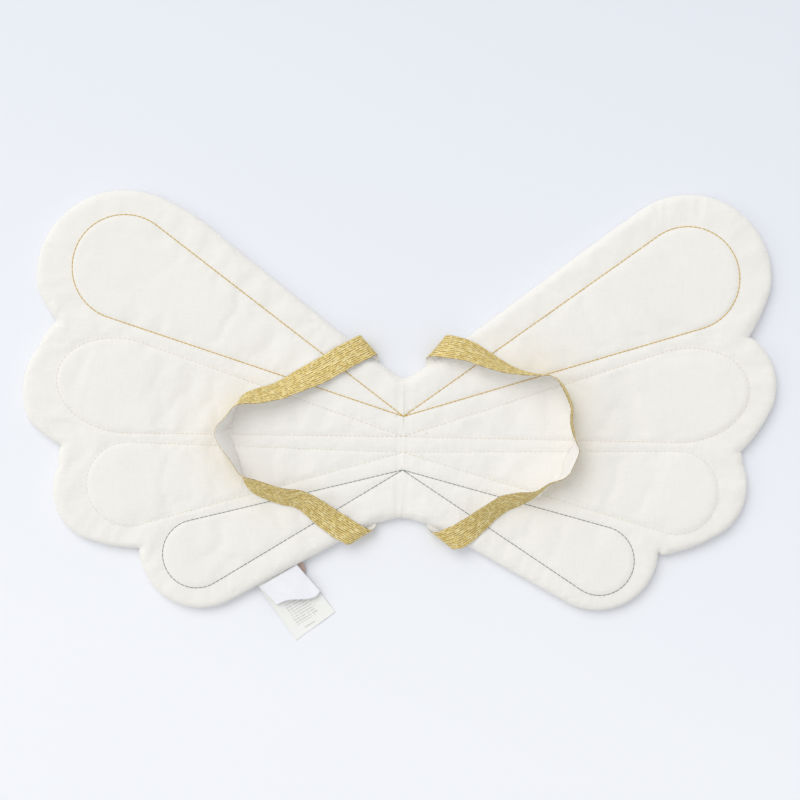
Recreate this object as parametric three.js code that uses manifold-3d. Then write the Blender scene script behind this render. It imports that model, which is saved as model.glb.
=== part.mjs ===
// A child's padded fairy wings with two elastic arm straps, in millimetres.
// The wings lie on their front face, Z = 0, with the back and its straps up. X runs from wing tip to
// wing tip, Y from the lower edge to the upper edge, and the origin is under the middle of the waist.
import * as THREE from "three";
import { mergeVertices } from "three/addons/utils/BufferGeometryUtils.js";
import Module from "manifold-3d";

const wasm = await Module();
wasm.setup();

// ---- Driving dimensions ----
const PAD_THICKNESS = 12;
const FABRIC = 1.5; // a panel and the seam allowance behind it
const RIM_INSET = 6; // how far the rounded rim reaches in from the edge
const RIM_BAND = 1.2; // the upright band at the middle of the rim
const GAP = 0.3; // between neighbouring pieces
const WADDING_GAP = 0.8; // the wadding stays this far inside the panels
const CENTRE_HALF_WIDTH = 12; // the strip down the middle that the two wings fold from
const FOLD_GAP = 0.5; // between that strip and each wing

const THREAD_WIDTH = 0.8;
const THREAD_HEIGHT = 0.4;
const THREAD_RECESS = 0.35; // the stitches sink this far under the fabric's face
const GROOVE_WIDTH = THREAD_WIDTH + 2 * GAP;
const GROOVE_DEPTH = THREAD_RECESS + THREAD_HEIGHT + GAP;
const BAND_OVERLAP = 0.2; // the left and right lines share this much at the middle line

const STRAP_WIDTH = 20;
const STRAP_THICKNESS = 1.2;
const STRAP_SPLIT_X = 40; // the sewn ends stay on the wing inside this line
const STRAP_SPLIT_GAP = 0.8; // between a sewn end and the loop, which turns up beside it

const STRAP_SECTIONS = 2; // between two stations of a strap

const LABEL_THICKNESS = 0.6;
const ARC_STEP = 11; // degrees between the points of a round stretch
const FAR = 500; // beyond every edge, for the cutting blocks

// ---- Colours ----
const IVORY = 0xf1eee6;
const WADDING_WHITE = 0xfafafa;
const GOLD = 0xc8aa5a;
const LABEL_WHITE = 0xf7f7fb;
const LABEL_CREAM = 0xf1f1ea;
const TAN = 0xb89c8c;

// ---- Outline ----
// Each wing's edge has four scallops, from the top: centre, radius, and the angles between which the
// edge follows that circle. Between two scallops the edge dips to a notch, and a curve leads round the
// waist above and below. The straight upper edge aims at the shoulder, and rounds it into the top scallop. The wings are cut by hand, so the two sides differ by a few millimetres. Both
// are written for +X.
const UPPER_WAIST_CURVE = [[0, 49.6], [6, 49.6], [13, 57.6], [25, 64.2]];
const LOWER_WAIST_CURVE = [[22, -67.2], [13, -65.4], [8, -62.4], [0, -62.4]];
const WINGS = {
  left: {
    sign: -1,
    scallops: [
      { x: 224.9, y: 125.4, r: 70.3, from: 110, to: 0 },
      { x: 245.5, y: 34.1, r: 59.1, from: 37, to: -20 },
      { x: 236.8, y: -43.6, r: 42.5, from: 25, to: -58 },
      { x: 160.5, y: -88.2, r: 48.6, from: -17, to: -119 },
    ],
    notches: [[278.7, 90.6], [273.6, -8.9], [209.5, -90.1]],
    shoulder: [178.4, 183.9],
  },
  right: {
    sign: 1,
    scallops: [
      { x: 226, y: 133.6, r: 66.2, from: 127, to: 6 },
      { x: 251.6, y: 48.2, r: 46, from: 45, to: -23 },
      { x: 229.4, y: -31.9, r: 46, from: 23, to: -60 },
      { x: 156.2, y: -83.5, r: 49.7, from: -4, to: -118 },
    ],
    notches: [[275.4, 87.3], [270.4, -4.8], [210.2, -88.3]],
    shoulder: [169.3, 174.8],
  },
};

// ---- Quilting ----
// Each line of stitching is a teardrop: a point on the middle line, two straight sides and a round head,
// which on the pink line is longer than it is wide. Each side's head is written for +X: centre x and y,
// and radius across the feather.
const FEATHERS = [
  {
    name: "mustard", tip: 19,
    left: [224.3, 134, 42], right: [224.8, 132.8, 41.4],
    stretch: 1, colour: 0xd9a93c,
  },
  {
    name: "pink", tip: 3,
    left: [225.6, 39.8, 37.3], right: [224, 39.8, 37.3],
    stretch: 1.39, colour: 0xf0d5c4,
  },
  {
    name: "cream", tip: -9.4,
    left: [218.3, -38.6, 33.4], right: [218.8, -38, 33.2],
    stretch: 1, colour: 0xe6e3bd,
  },
  {
    name: "teal", tip: -23.7,
    left: [163, -93.4, 27.2], right: [158.4, -93.4, 27.6],
    stretch: 1, colour: 0x5d7f82,
  },
];

// ---- Straps ----
// Stations along each strap, from its end in the upper seam to its end in the lower seam: x, y, the
// height of its lower edge over the wing's back face, the heading of the line across it towards the
// inside of the loop, and how far that inside edge is turned up. Past 90 degrees the reverse shows.
const STRAPS = {
  left: [
    [-30.5, 69.2, -6.5, -38, 0], [-30, 72.6, -5, -46, 0], [-29.3, 74.6, -2.4, -50, 0], [-30, 74, 0.8, -51, 0],
    [-47, 66, 1.6, -59, 5], [-65, 55, 1.2, -64, 12], [-83, 46, 0.9, -68, 30], [-99, 38, 0.9, -70, 45],
    [-117, 33, 0.9, -75, 55], [-127, 31, 0.9, -68, 68], [-135, 26, 0.9, -45, 88], [-141, 16, 0.9, -15, 105],
    [-145, 4, 0.9, 5, 132], [-141, -7, 0.9, 18, 120], [-134, -19, 0.9, 30, 103], [-128, -31, 0.9, 46, 86],
    [-119, -38, 0.9, 66, 58], [-107, -43, 0.9, 70, 50], [-94, -46, 0.9, 66, 48], [-82, -49, 0.9, 62, 44],
    [-71, -55, 0.9, 57, 33], [-59, -63, 0.9, 56, 16], [-45, -71, 1.4, 52, 8], [-31, -75.5, 0.8, 43, 0],
    [-29.5, -76.5, -2.4, 40, 0], [-28.8, -75.2, -5, 36, 0], [-28.5, -72, -6.5, 30, 0],
  ],
  right: [
    [30, 68.7, -6.5, -143, 0], [28.2, 72.4, -5, -132, 0], [26.9, 75, -2.4, -126, 0], [28, 76, 0.8, -122, 4],
    [39, 75, 1.6, -106, 25], [52, 72, 1.2, -104, 34], [64, 66, 0.9, -110, 47], [75, 61, 0.9, -112, 60],
    [86, 57, 0.9, -110, 72], [96, 55, 0.9, -100, 80], [106, 54, 0.9, -94, 86], [116, 54, 0.9, -106, 88],
    [124, 50, 0.9, -136, 85], [131, 40, 0.9, -156, 82], [135.5, 28, 0.9, -172, 82], [136, 18, 0.9, -177, 82],
    [138, 6, 0.9, -168, 83], [140.5, -7, 0.9, -184, 90], [136, -16, 0.9, -206, 106],
    [130, -25, 0.9, -218, 94], [123, -31, 0.9, -238, 86], [115, -36, 0.9, -246, 82], [105, -41, 0.9, -250, 74],
    [93, -45, 0.9, -256, 56], [81, -49, 0.9, -250, 46], [68, -58, 0.9, -236, 40], [56, -68, 0.9, -230, 24],
    [44, -75, 1.4, -232, 8], [31, -77, 0.8, -223, 0], [29, -77.5, -2.4, -220, 0], [28.8, -75.6, -5, -216, 0],
    [28.5, -72, -6.5, -210, 0],
  ],
};

// ---- Labels ----
// They leave the lower seam of the left wing here, and lean down to what the wings lie on.
const LABEL_SEAM = new THREE.Vector3(-98, -110.2, 5.2);
const LABEL_HEADING = -53; // degrees, the way the labels hang in plan
const LABEL_DROOP = 5; // degrees
const LABEL_SKEW = 0.144; // their sewn edge follows the seam, which isn't square to them
const CARE_LABEL = { width: 39, length: 48 };
const SATIN_LABEL = { width: 36, length: 22 };
const TAN_TAB = { width: 7, length: 14, shift: 17.5 };

// ---- Solids ----
function solid(geometry) {
  const bare = geometry.clone();
  bare.deleteAttribute("normal");
  bare.deleteAttribute("uv");
  const merged = mergeVertices(bare, 1e-4);
  return new wasm.Manifold(
    new wasm.Mesh({
      numProp: 3,
      vertProperties: Float32Array.from(merged.attributes.position.array),
      triVerts: Uint32Array.from(merged.index.array),
    }),
  );
}

function geometryOf(made) {
  const { vertProperties, triVerts } = made.getMesh();
  const geometry = new THREE.BufferGeometry();
  geometry.setAttribute("position", new THREE.BufferAttribute(Float32Array.from(vertProperties), 3));
  geometry.setIndex(new THREE.BufferAttribute(Uint32Array.from(triVerts), 1));
  geometry.computeVertexNormals();
  return geometry;
}

function block(low, high) {
  const geometry = new THREE.BoxGeometry(high[0] - low[0], high[1] - low[1], high[2] - low[2]);
  geometry.translate((low[0] + high[0]) / 2, (low[1] + high[1]) / 2, (low[2] + high[2]) / 2);
  return solid(geometry);
}

function degrees(angle) {
  return THREE.MathUtils.degToRad(angle);
}

// ---- Outline of the pad ----
function arcPoints({ x, y, r, from, to }) {
  const steps = Math.ceil(Math.abs(to - from) / ARC_STEP);
  return Array.from({ length: steps + 1 }, (_, i) => {
    const angle = degrees(from + ((to - from) * i) / steps);
    return new THREE.Vector2(x + r * Math.cos(angle), y + r * Math.sin(angle));
  });
}

// The upper edge runs straight from the waist, and rounds the shoulder into the top scallop.
function shoulderPoints(waist, shoulder, scallop) {
  const corner = new THREE.Vector2(...shoulder);
  const towardWaist = waist.clone().sub(corner).normalize();
  const straightEnd = corner.clone().addScaledVector(towardWaist, corner.distanceTo(scallop));
  return new THREE.QuadraticBezierCurve(straightEnd, corner, scallop).getPoints(4).slice(0, -1);
}

function waistPoints(controls) {
  return new THREE.CubicBezierCurve(...controls.map(([x, y]) => new THREE.Vector2(x, y))).getPoints(4);
}

// One wing's edge for +X, from the top of the waist round to its bottom.
function wingEdge({ scallops, notches, shoulder }) {
  const arcs = scallops.map(arcPoints);
  const edge = waistPoints(UPPER_WAIST_CURVE);
  edge.push(...shoulderPoints(edge.at(-1), shoulder, arcs[0][0]));
  arcs.forEach((arc, i) => {
    if (i > 0) edge.push(new THREE.Vector2(...notches[i - 1]));
    edge.push(...arc);
  });
  return edge.concat(waistPoints(LOWER_WAIST_CURVE));
}

function padOutline() {
  const right = wingEdge(WINGS.right);
  const left = wingEdge(WINGS.left).map((p) => new THREE.Vector2(-p.x, p.y));
  return new THREE.Shape(right.concat(left.reverse().slice(1, -1)));
}

// The pad's outer form, or the same form set in all round: flat faces and a rounded rim.
function pillow(inset) {
  const thickness = PAD_THICKNESS - 2 * inset;
  const rim = (thickness - RIM_BAND) / 2;
  const rimWidth = RIM_INSET - inset / 2;
  const geometry = new THREE.ExtrudeGeometry(padOutline(), {
    depth: RIM_BAND,
    bevelEnabled: true,
    bevelThickness: rim,
    bevelSize: rimWidth,
    bevelOffset: -rimWidth - inset,
    bevelSegments: 2,
  });
  geometry.translate(0, 0, inset + rim);
  return solid(geometry);
}

// ---- The three parts that the pad bends between ----
const REGIONS = {
  left: block([-FAR, -FAR, -FAR], [-CENTRE_HALF_WIDTH - FOLD_GAP, FAR, FAR]),
  centre: block([-CENTRE_HALF_WIDTH, -FAR, -FAR], [CENTRE_HALF_WIDTH, FAR, FAR]),
  right: block([CENTRE_HALF_WIDTH + FOLD_GAP, -FAR, -FAR], [FAR, FAR, FAR]),
};

// ---- Quilting lines ----
// A teardrop outline set off from the stitching line by `offset`, for the wing on side `sign`.
function teardrop({ tip, stretch }, [x, y, r], offset, sign) {
  const axis = new THREE.Vector2(x, y - tip);
  const tangent = Math.asin((r * stretch) / axis.length());
  const taper = Math.atan(Math.tan(tangent) / stretch);
  const points = [new THREE.Vector2(-axis.length() - offset / Math.sin(taper), 0)];
  const sweep = Math.PI + 2 * tangent;
  const steps = Math.ceil(THREE.MathUtils.radToDeg(sweep) / ARC_STEP);
  for (let i = 0; i <= steps; i++) {
    const angle = (sweep * i) / steps - sweep / 2;
    const outward = new THREE.Vector2(Math.cos(angle) / stretch, Math.sin(angle)).normalize();
    const point = new THREE.Vector2(stretch * r * Math.cos(angle), r * Math.sin(angle));
    points.push(point.addScaledVector(outward, offset));
  }
  for (const point of points) {
    point.rotateAround(new THREE.Vector2(), axis.angle()).add(new THREE.Vector2(x, y));
  }
  if (sign > 0) return points;
  return points.map((p) => new THREE.Vector2(-p.x, p.y)).reverse();
}

// One side's line of stitching as a flat band, ending on the middle line.
function featherBand(feather, side, width, low, high) {
  const sign = WINGS[side].sign;
  const shape = new THREE.Shape(teardrop(feather, feather[side], width / 2, sign));
  shape.holes.push(new THREE.Path(teardrop(feather, feather[side], -width / 2, sign)));
  const geometry = new THREE.ExtrudeGeometry(shape, { depth: high - low, bevelEnabled: false });
  geometry.translate(0, 0, low);
  const near = -sign * BAND_OVERLAP;
  const keep = block([Math.min(near, sign * FAR), -FAR, -FAR], [Math.max(near, sign * FAR), FAR, FAR]);
  return solid(geometry).intersect(keep);
}

function featherLine(feather, width, low, high) {
  const [left, right] = ["left", "right"].map((side) => featherBand(feather, side, width, low, high));
  return left.add(right);
}

// ---- Straps ----
// A flat ribbon through a strap's stations, a closed box section along its whole length.
function ribbon(stations, turn) {
  const rails = [-1, 1].map(
    (side) =>
      new THREE.CatmullRomCurve3(
        stations.map(([x, y, lift, heading, roll]) => {
          const half = (side * STRAP_WIDTH) / 2;
          const across = Math.cos(degrees(roll)) * half;
          const z = PAD_THICKNESS + lift + (STRAP_WIDTH / 2) * Math.sin(degrees(roll));
          return new THREE.Vector3(
            x + across * Math.cos(degrees(heading)),
            y + across * Math.sin(degrees(heading)),
            z + Math.sin(degrees(roll)) * half,
          );
        }),
        false,
        "centripetal",
      ),
  );
  const sections = STRAP_SECTIONS * (stations.length - 1);
  const corners = [];
  for (let i = 0; i <= sections; i++) {
    const t = i / sections;
    const [outer, inner] = rails.map((rail) => rail.getPoint(t));
    const along = rails[0].getTangent(t).add(rails[1].getTangent(t)).normalize();
    const across = inner.clone().sub(outer).normalize();
    const half = new THREE.Vector3().crossVectors(along, across).setLength((turn * STRAP_THICKNESS) / 2);
    const shifted = (k) => [outer, inner].map((p) => p.clone().addScaledVector(half, k));
    const [below, above] = [shifted(-1), shifted(1)];
    corners.push([below[0], below[1], above[1], above[0]]);
  }
  const triangles = [];
  const quad = (a, b, c, d) => triangles.push(a, b, c, a, c, d);
  for (let i = 0; i < sections; i++) {
    const [near, next] = [corners[i], corners[i + 1]];
    for (let k = 0; k < 4; k++) quad(near[k], near[(k + 1) % 4], next[(k + 1) % 4], next[k]);
  }
  quad(corners[0][3], corners[0][2], corners[0][1], corners[0][0]);
  quad(corners[sections][0], corners[sections][1], corners[sections][2], corners[sections][3]);
  if (turn < 0) triangles.reverse();
  const geometry = new THREE.BufferGeometry().setFromPoints(triangles);
  return solid(geometry);
}

// ---- Assembly ----
const wings = new THREE.Group();
wings.name = "fairy_wings";

function addPiece(name, geometry, colour, roughness, metalness = 0) {
  const material = new THREE.MeshStandardMaterial({ color: colour, roughness, metalness });
  const mesh = new THREE.Mesh(geometry, material);
  mesh.name = name;
  wings.add(mesh);
  return mesh;
}

function addPanels() {
  const shell = pillow(0).subtract(pillow(FABRIC));
  const middle = PAD_THICKNESS / 2;
  const halves = {
    back: block([-FAR, -FAR, middle + GAP / 2], [FAR, FAR, FAR]),
    front: block([-FAR, -FAR, -FAR], [FAR, FAR, middle - GAP / 2]),
  };
  for (const [face, half] of Object.entries(halves)) {
    const low = face === "back" ? PAD_THICKNESS - GROOVE_DEPTH : -1;
    const high = face === "back" ? PAD_THICKNESS + 1 : GROOVE_DEPTH;
    let panel = shell.intersect(half);
    for (const feather of FEATHERS) panel = panel.subtract(featherLine(feather, GROOVE_WIDTH, low, high));
    for (const [side, region] of Object.entries(REGIONS)) {
      addPiece(`${face}_panel_${side}`, geometryOf(panel.intersect(region)), IVORY, 0.92);
    }
  }
}

function addWadding() {
  const filling = pillow(FABRIC + WADDING_GAP);
  for (const [side, region] of Object.entries(REGIONS)) {
    addPiece(`wadding_${side}`, geometryOf(filling.intersect(region)), WADDING_WHITE, 1);
  }
}

function addThreads() {
  const top = PAD_THICKNESS - THREAD_RECESS;
  const layers = {
    back_thread: [top - THREAD_HEIGHT, top],
    front_thread: [THREAD_RECESS, THREAD_RECESS + THREAD_HEIGHT],
  };
  for (const feather of FEATHERS) {
    for (const [layer, [low, high]] of Object.entries(layers)) {
      const line = featherLine(feather, THREAD_WIDTH, low, high);
      for (const [side, region] of Object.entries(REGIONS)) {
        const name = `${feather.name}_${layer}_${side}`;
        addPiece(name, geometryOf(line.intersect(region)), feather.colour, 0.7);
      }
    }
  }
}

// The strap's loop lifts off the wing, and its two sewn ends stay on it.
function addStrap(side) {
  const sign = WINGS[side].sign;
  const whole = ribbon(STRAPS[side], -sign);
  const split = (x0, x1, y0, y1) => {
    const [low, high] = [Math.min(sign * x0, sign * x1), Math.max(sign * x0, sign * x1)];
    return geometryOf(whole.intersect(block([low, y0, -FAR], [high, y1, FAR])));
  };
  addPiece(`${side}_strap`, split(STRAP_SPLIT_X + STRAP_SPLIT_GAP, FAR, -FAR, FAR), GOLD, 0.45, 0.6);
  addPiece(`${side}_strap_upper_end`, split(0, STRAP_SPLIT_X, 0, FAR), GOLD, 0.45, 0.6);
  addPiece(`${side}_strap_lower_end`, split(0, STRAP_SPLIT_X, -FAR, 0), GOLD, 0.45, 0.6);
}

// A flat label hanging from the seam, `rise` above the lowest one and `shift` along the seam.
function addLabel(name, { width, length, shift = 0 }, thickness, rise, colour) {
  const [near, far] = [shift - width / 2, shift + width / 2];
  const outline = new THREE.Shape([
    new THREE.Vector2(LABEL_SKEW * near, near),
    new THREE.Vector2(length, near),
    new THREE.Vector2(length, far),
    new THREE.Vector2(LABEL_SKEW * far, far),
  ]);
  const label = new THREE.Mesh(
    new THREE.ExtrudeGeometry(outline, { depth: thickness, bevelEnabled: false }),
    new THREE.MeshStandardMaterial({ color: colour, roughness: 0.6 }),
  );
  label.name = name;
  label.position.z = rise;
  const seam = new THREE.Group();
  seam.position.copy(LABEL_SEAM);
  seam.rotation.set(0, degrees(LABEL_DROOP), degrees(LABEL_HEADING), "ZYX");
  seam.add(label);
  wings.add(seam);
}

addPanels();
addWadding();
addThreads();
addStrap("left");
addStrap("right");
addLabel("tan_tab", TAN_TAB, LABEL_THICKNESS, 0, TAN);
addLabel("care_label", CARE_LABEL, LABEL_THICKNESS, LABEL_THICKNESS + GAP, LABEL_CREAM);
addLabel("satin_label", SATIN_LABEL, 2 * LABEL_THICKNESS, 2 * (LABEL_THICKNESS + GAP), LABEL_WHITE);

export default wings;
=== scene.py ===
"""The looks of a child's padded fairy wings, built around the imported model's frame.

Lengths in the tables and in the shape functions are in millimetres; add_mesh() turns them into metres.
Shapes of a wing are written for +X and mirrored for the left one."""
import math

import bpy
import numpy as np
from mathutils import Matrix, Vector
from mathutils.geometry import delaunay_2d_cdt
from mathutils.kdtree import KDTree


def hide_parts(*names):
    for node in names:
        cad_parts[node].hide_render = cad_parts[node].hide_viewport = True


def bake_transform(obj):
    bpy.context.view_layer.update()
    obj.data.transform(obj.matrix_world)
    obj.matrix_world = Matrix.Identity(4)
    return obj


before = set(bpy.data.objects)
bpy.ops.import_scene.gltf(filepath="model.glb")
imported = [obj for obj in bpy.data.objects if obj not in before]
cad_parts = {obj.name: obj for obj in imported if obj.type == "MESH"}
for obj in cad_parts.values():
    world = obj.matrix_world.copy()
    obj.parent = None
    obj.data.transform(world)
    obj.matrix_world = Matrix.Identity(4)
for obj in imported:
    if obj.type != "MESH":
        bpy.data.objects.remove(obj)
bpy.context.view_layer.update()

MM = 0.001
SIGN = {"left": -1, "right": 1}

# ---- The pad's outline ----
UPPER_WAIST_CURVE = [[0, 49.6], [6, 49.6], [13, 57.6], [25, 64.2]]
LOWER_WAIST_CURVE = [[22, -67.2], [13, -65.4], [8, -62.4], [0, -62.4]]
INTO_NOTCH_BULGE = 0.045  # of the length of the notch's side
OUT_OF_NOTCH_BULGE = 0.057
SCALLOPS = {  # centre x and y, radius, and the angles between which the edge follows that circle
    "left": [
        (224.9, 125.4, 70.3, 110, -5), (245.5, 34.1, 59.1, 37, -23),
        (236.8, -43.6, 42.5, 25, -63), (160.5, -88.2, 48.6, -17, -119),
    ],
    "right": [
        (226, 133.6, 66.2, 127, -4), (251.6, 48.2, 46, 45, -29),
        (229.4, -31.9, 46, 23, -66), (156.2, -83.5, 49.7, -4, -118),
    ],
}
NOTCHES = {
    "left": [(278.7, 90.6), (273.6, -8.9), (209.5, -90.1)],
    "right": [(275.4, 87.3), (270.4, -4.8), (210.2, -88.3)],
}
SHOULDERS = {"left": (178.4, 183.9), "right": (169.3, 174.8)}  # between the upper edge and the top scallop
WAIST_STEPS = 20
SHOULDER_STEPS = 24

# ---- Quilting: each line's tip on the middle line, and its head's centre, radius and stretch outwards ----
FEATHERS = {
    "mustard": {"tip": 19, "left": (224.3, 134, 42), "right": (224.8, 132.8, 41.4), "stretch": 1},
    "pink": {"tip": 3, "left": (225.6, 39.8, 37.3), "right": (224, 39.8, 37.3), "stretch": 1.39},
    "cream": {"tip": -9.4, "left": (218.3, -38.6, 33.4), "right": (218.8, -38, 33.2), "stretch": 1},
    "teal": {"tip": -23.7, "left": (163, -93.4, 27.2), "right": (158.4, -93.4, 27.6), "stretch": 1},
}

# ---- Straps: stations along each one's lower edge, from the upper seam to the lower seam ----
# x, y, height over the pad, the heading across it into the loop, and how far that side is turned up
STRAPS = {
    "left": [
        (-30.4, 66.6, -6.4, -37, 0), (-28.9, 71, -5.8, -41, 0), (-28.4, 74.3, -3.6, -46, 0),
        (-29.3, 75.6, -0.8, -50, 0), (-31, 74.6, 1, -52, 0), (-47, 66, 1.6, -59, 5),
        (-65, 55, 1.2, -64, 12), (-83, 46, 0.9, -68, 30), (-99, 38, 0.9, -70, 45),
        (-117, 33, 0.9, -75, 55), (-126, 30.8, 0.9, -70, 66), (-132.6, 25.5, 0.9, -46, 88),
        (-138.3, 15.8, 0.9, -36, 101), (-141.6, 9.8, 0.9, -28, 111), (-143.5, 6.2, 0.9, 20, 125),
        (-142.7, 1, 0.9, 29, 123), (-141, -3.5, 0.9, 29, 118), (-138, -9, 0.9, 29, 113),
        (-132.6, -18.6, 0.9, 31, 102), (-127.3, -30, 0.9, 44, 87), (-118.6, -37.6, 0.9, 66, 58),
        (-107, -42.6, 0.9, 70, 50), (-94, -46.4, 0.9, 72, 46), (-84, -47.6, 0.9, 72, 42),
        (-76, -51, 0.9, 58, 36), (-59, -63, 0.9, 56, 16), (-45, -72, 1.4, 50, 6),
        (-36, -77, 1, 41, 0), (-33.2, -78, -1.2, 36, 0), (-31, -76.8, -4, 31, 0),
        (-29.6, -73.8, -5.8, 28, 0), (-29, -70.3, -6.5, 26, 0),
    ],
    "right": [
        (27.4, 63.6, -6.4, -144, 0), (25.3, 67.8, -6, -143, 0), (24.7, 71.7, -4.2, -138, 0),
        (25.5, 74.5, -1.5, -130, 0), (27.5, 75.6, 0.9, -122, 4), (39, 74.6, 1.6, -106, 25),
        (52, 71.6, 1.2, -104, 34), (64, 66, 0.9, -110, 47), (75, 61, 0.9, -112, 60),
        (86, 57, 0.9, -110, 72), (96, 55, 0.9, -100, 80), (106, 54, 0.9, -94, 86),
        (115, 53.4, 0.9, -98, 88), (120.4, 51.2, 0.9, -124, 86), (126, 44.6, 0.9, -147, 80),
        (130.4, 36, 0.9, -155, 80), (133.2, 28, 0.9, -170, 80), (133, 17.6, 0.9, -184, 80),
        (134.8, 8.3, 0.9, -172, 81), (137, -0.5, 0.9, -172, 90), (136.2, -5.5, 0.9, -188, 105),
        (131.9, -16, 0.9, -203, 108), (129.3, -23.4, 0.9, -212, 101), (125.8, -28.2, 0.9, -236, 90),
        (116.8, -32.4, 0.9, -244, 84), (105, -41, 0.9, -250, 74), (93, -45, 0.9, -256, 56),
        (81, -49, 0.9, -250, 46), (68, -58, 0.9, -236, 40), (56, -68, 0.9, -230, 24),
        (44, -76.4, 1.4, -230, 7), (34.4, -79.6, 0.9, -221, 0), (32.6, -79.2, -2, -217, 0),
        (30.8, -77, -4.5, -213, 0), (29.2, -73.8, -6, -210, 0), (28.3, -70.5, -6.5, -209, 0),
    ],
}
PAD_THICKNESS = 12
STRAP_WIDTH = 20
STRAP_THICKNESS = 0.9
STRAP_COLUMNS = 36
STRAP_STEP = 1.25
STRAP_RIBS = 12
RIB_HEIGHT = 0.11
RIBS_PER_METRE = STRAP_RIBS / STRAP_WIDTH / MM
STATION_STEPS = 24
SWAY = 0.012  # of the width, by which a strap's sides waver
SWAY_LENGTH = 9

# ---- Labels: where they leave the left wing's lower seam, the way they hang, and the seam's slant ----
LABEL_SEAM = (-98, -110.2, 5.6)
LABEL_HEADING = -53
LABEL_SLANT = 0.09
LABEL_FLOOR = 0.5
LABEL_LENGTH = 50  # of the care label, outside the seam
CARE_THICKNESS = 0.25
SATIN_THICKNESS = 0.22
SATIN_STEPS = 27  # along each leaf of the folded label
TAB_THICKNESS = 0.3

# ---- Pad ----
MIDDLE = 5.6  # height of the seam round the edge
LOFT = 6.0  # the back face's height over that seam
TOP_RIM = 8.0  # width of the rounded rim, on the back face and on the flattened front face
BOTTOM_RIM = 5.5
RIM_ROWS = [0.25, 0.9, 1.9, 3.2, 4.8, 6.8]  # rows of points this far in from the edge
EDGE_STEP = 1.6
HEAD_STEP = 1.2  # between points round a feather's head
GRID_STEP = 2.8
GRID_X = (2, 305)
GRID_Y = (-140, 202)
MIDDLE_STEP = 2  # between points on the middle line
CLEARANCE = 0.7  # from the rim's rows to those beside the stitching, and from any point to the middle line
GRID_CLEARANCE = 0.62 * GRID_STEP
EDGE_CLEARANCE = 0.2
AT_EDGE = 0.05
PAD_CREASE_ANGLE = math.radians(65)  # edges sharper than this aren't smoothed
SHEET_CREASE_ANGLE = math.radians(50)
STITCH_ROWS = [0, -1.3, 1.3, -3, 3]  # rows of points this far beside a line of stitching
CHANNEL_DEPTH = 0.5  # of the furrow that a line of stitching pulls into the back face
CHANNEL_WIDTH = 1.8
FRONT_CHANNEL_DEPTH = 0.5
DIP_DEPTH = 0.25  # of the wider dip round the furrow, as a share of the furrow's depth
DIP_WIDTH = 8
UNDULATIONS = [(0.28, 85), (0.1, 26)]  # height and wavelength
GATHERS = (0.22, 11, 5)  # height and wavelength along the edge, and how far in they fade
MIDDLE_FOLD = (0.3, 4, 1.8)  # depth, place in x and width
CREASE_DEPTH = 0.8
CREASE_WIDTH = 1.7
CREASES = {  # where the fabric puckers inwards from a notch or across the rim: from x and y to x and y
    "left": [(279, 90, 267, 112), (273, -9, 262, -4), (209, -91, 201, -82)],
    "right": [
        (275, 87, 262, 88), (274, 84, 266, 74), (270, -5, 258, -6), (270, -4, 262, 4), (210, -89, 201, -80),
        (209, -88, 207, -75), (206.5, 192, 207, 172), (199, 187, 203, 176),
    ],
}
PUFF_FRAMES = 20
SEWN_REACH = 0.3  # the fabric is held this close to the stitching and to the middle line, and at the edge
MOST_PUFF = 1.1  # how far the filling may push the fabric
PUFF_HEADROOM = 0.6  # how far the pad may rise over its usual thickness
SLACK = 0.008  # how much larger the fabric is than the shape that it is sewn to
FABRIC = {
    "quality": 5,
    "mass": 0.2,
    "tension_stiffness": 20,
    "compression_stiffness": 20,
    "shear_stiffness": 8,
    "bending_stiffness": 0.3,
    "vertex_group_mass": "sewn",
    "shrink_min": -SLACK,
    "shrink_max": -SLACK,
    "use_pressure": True,
    "uniform_pressure_force": 2.0,
}
STITCH_PITCH = 3.7
STITCH_POINTS = 7
STITCH_JITTER = 0.08
STITCH_RISE = 0.75  # of a stitch's radius, at its middle
STITCH_DIP = 2.1  # of its radius, from there to its ends
TUBE_SIDES = 6
STITCHES = {  # length and radius of a stitch
    "mustard": (3.6, 0.37),
    "pink": (2.6, 0.25),
    "cream": (2.6, 0.25),
    "teal": (3.6, 0.29),
}


# ---- Curves ----
NEAREST_BATCH = 3_000_000  # pairs of a point and a segment
RIPPLE_WAVES = 9


def bezier(controls, count):
    """A Bezier curve through count + 1 points, by repeated averaging of its controls."""
    points = np.repeat(np.array(controls, float)[None], count + 1, axis=0)
    t = np.linspace(0, 1, count + 1)[:, None, None]
    while points.shape[1] > 1:
        points = (1 - t) * points[:, :-1] + t * points[:, 1:]
    return points[:, 0]


def arc(x, y, radius, start, end):
    """Points along a circle's arc between two angles."""
    count = math.ceil(radius * math.radians(abs(end - start)) / EDGE_STEP)
    angles = np.radians(np.linspace(start, end, count + 1))
    return np.stack([x + radius * np.cos(angles), y + radius * np.sin(angles)], 1)


def bulge(start, end, share=0.0):
    """From corner to corner of the outline: straight, or bulging outward by a share of the length."""
    start, end = np.array(start, float), np.array(end, float)
    along = end - start
    control = (start + end) / 2 + 2 * share * np.array([-along[1], along[0]])
    return bezier([start, control, end], math.ceil(np.hypot(*along) / EDGE_STEP))


def without_repeats(points):
    """The points of a line, each place only once."""
    keep = np.r_[True, np.linalg.norm(np.diff(points, axis=0), axis=1) > 1e-6]
    return points[keep]


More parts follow.
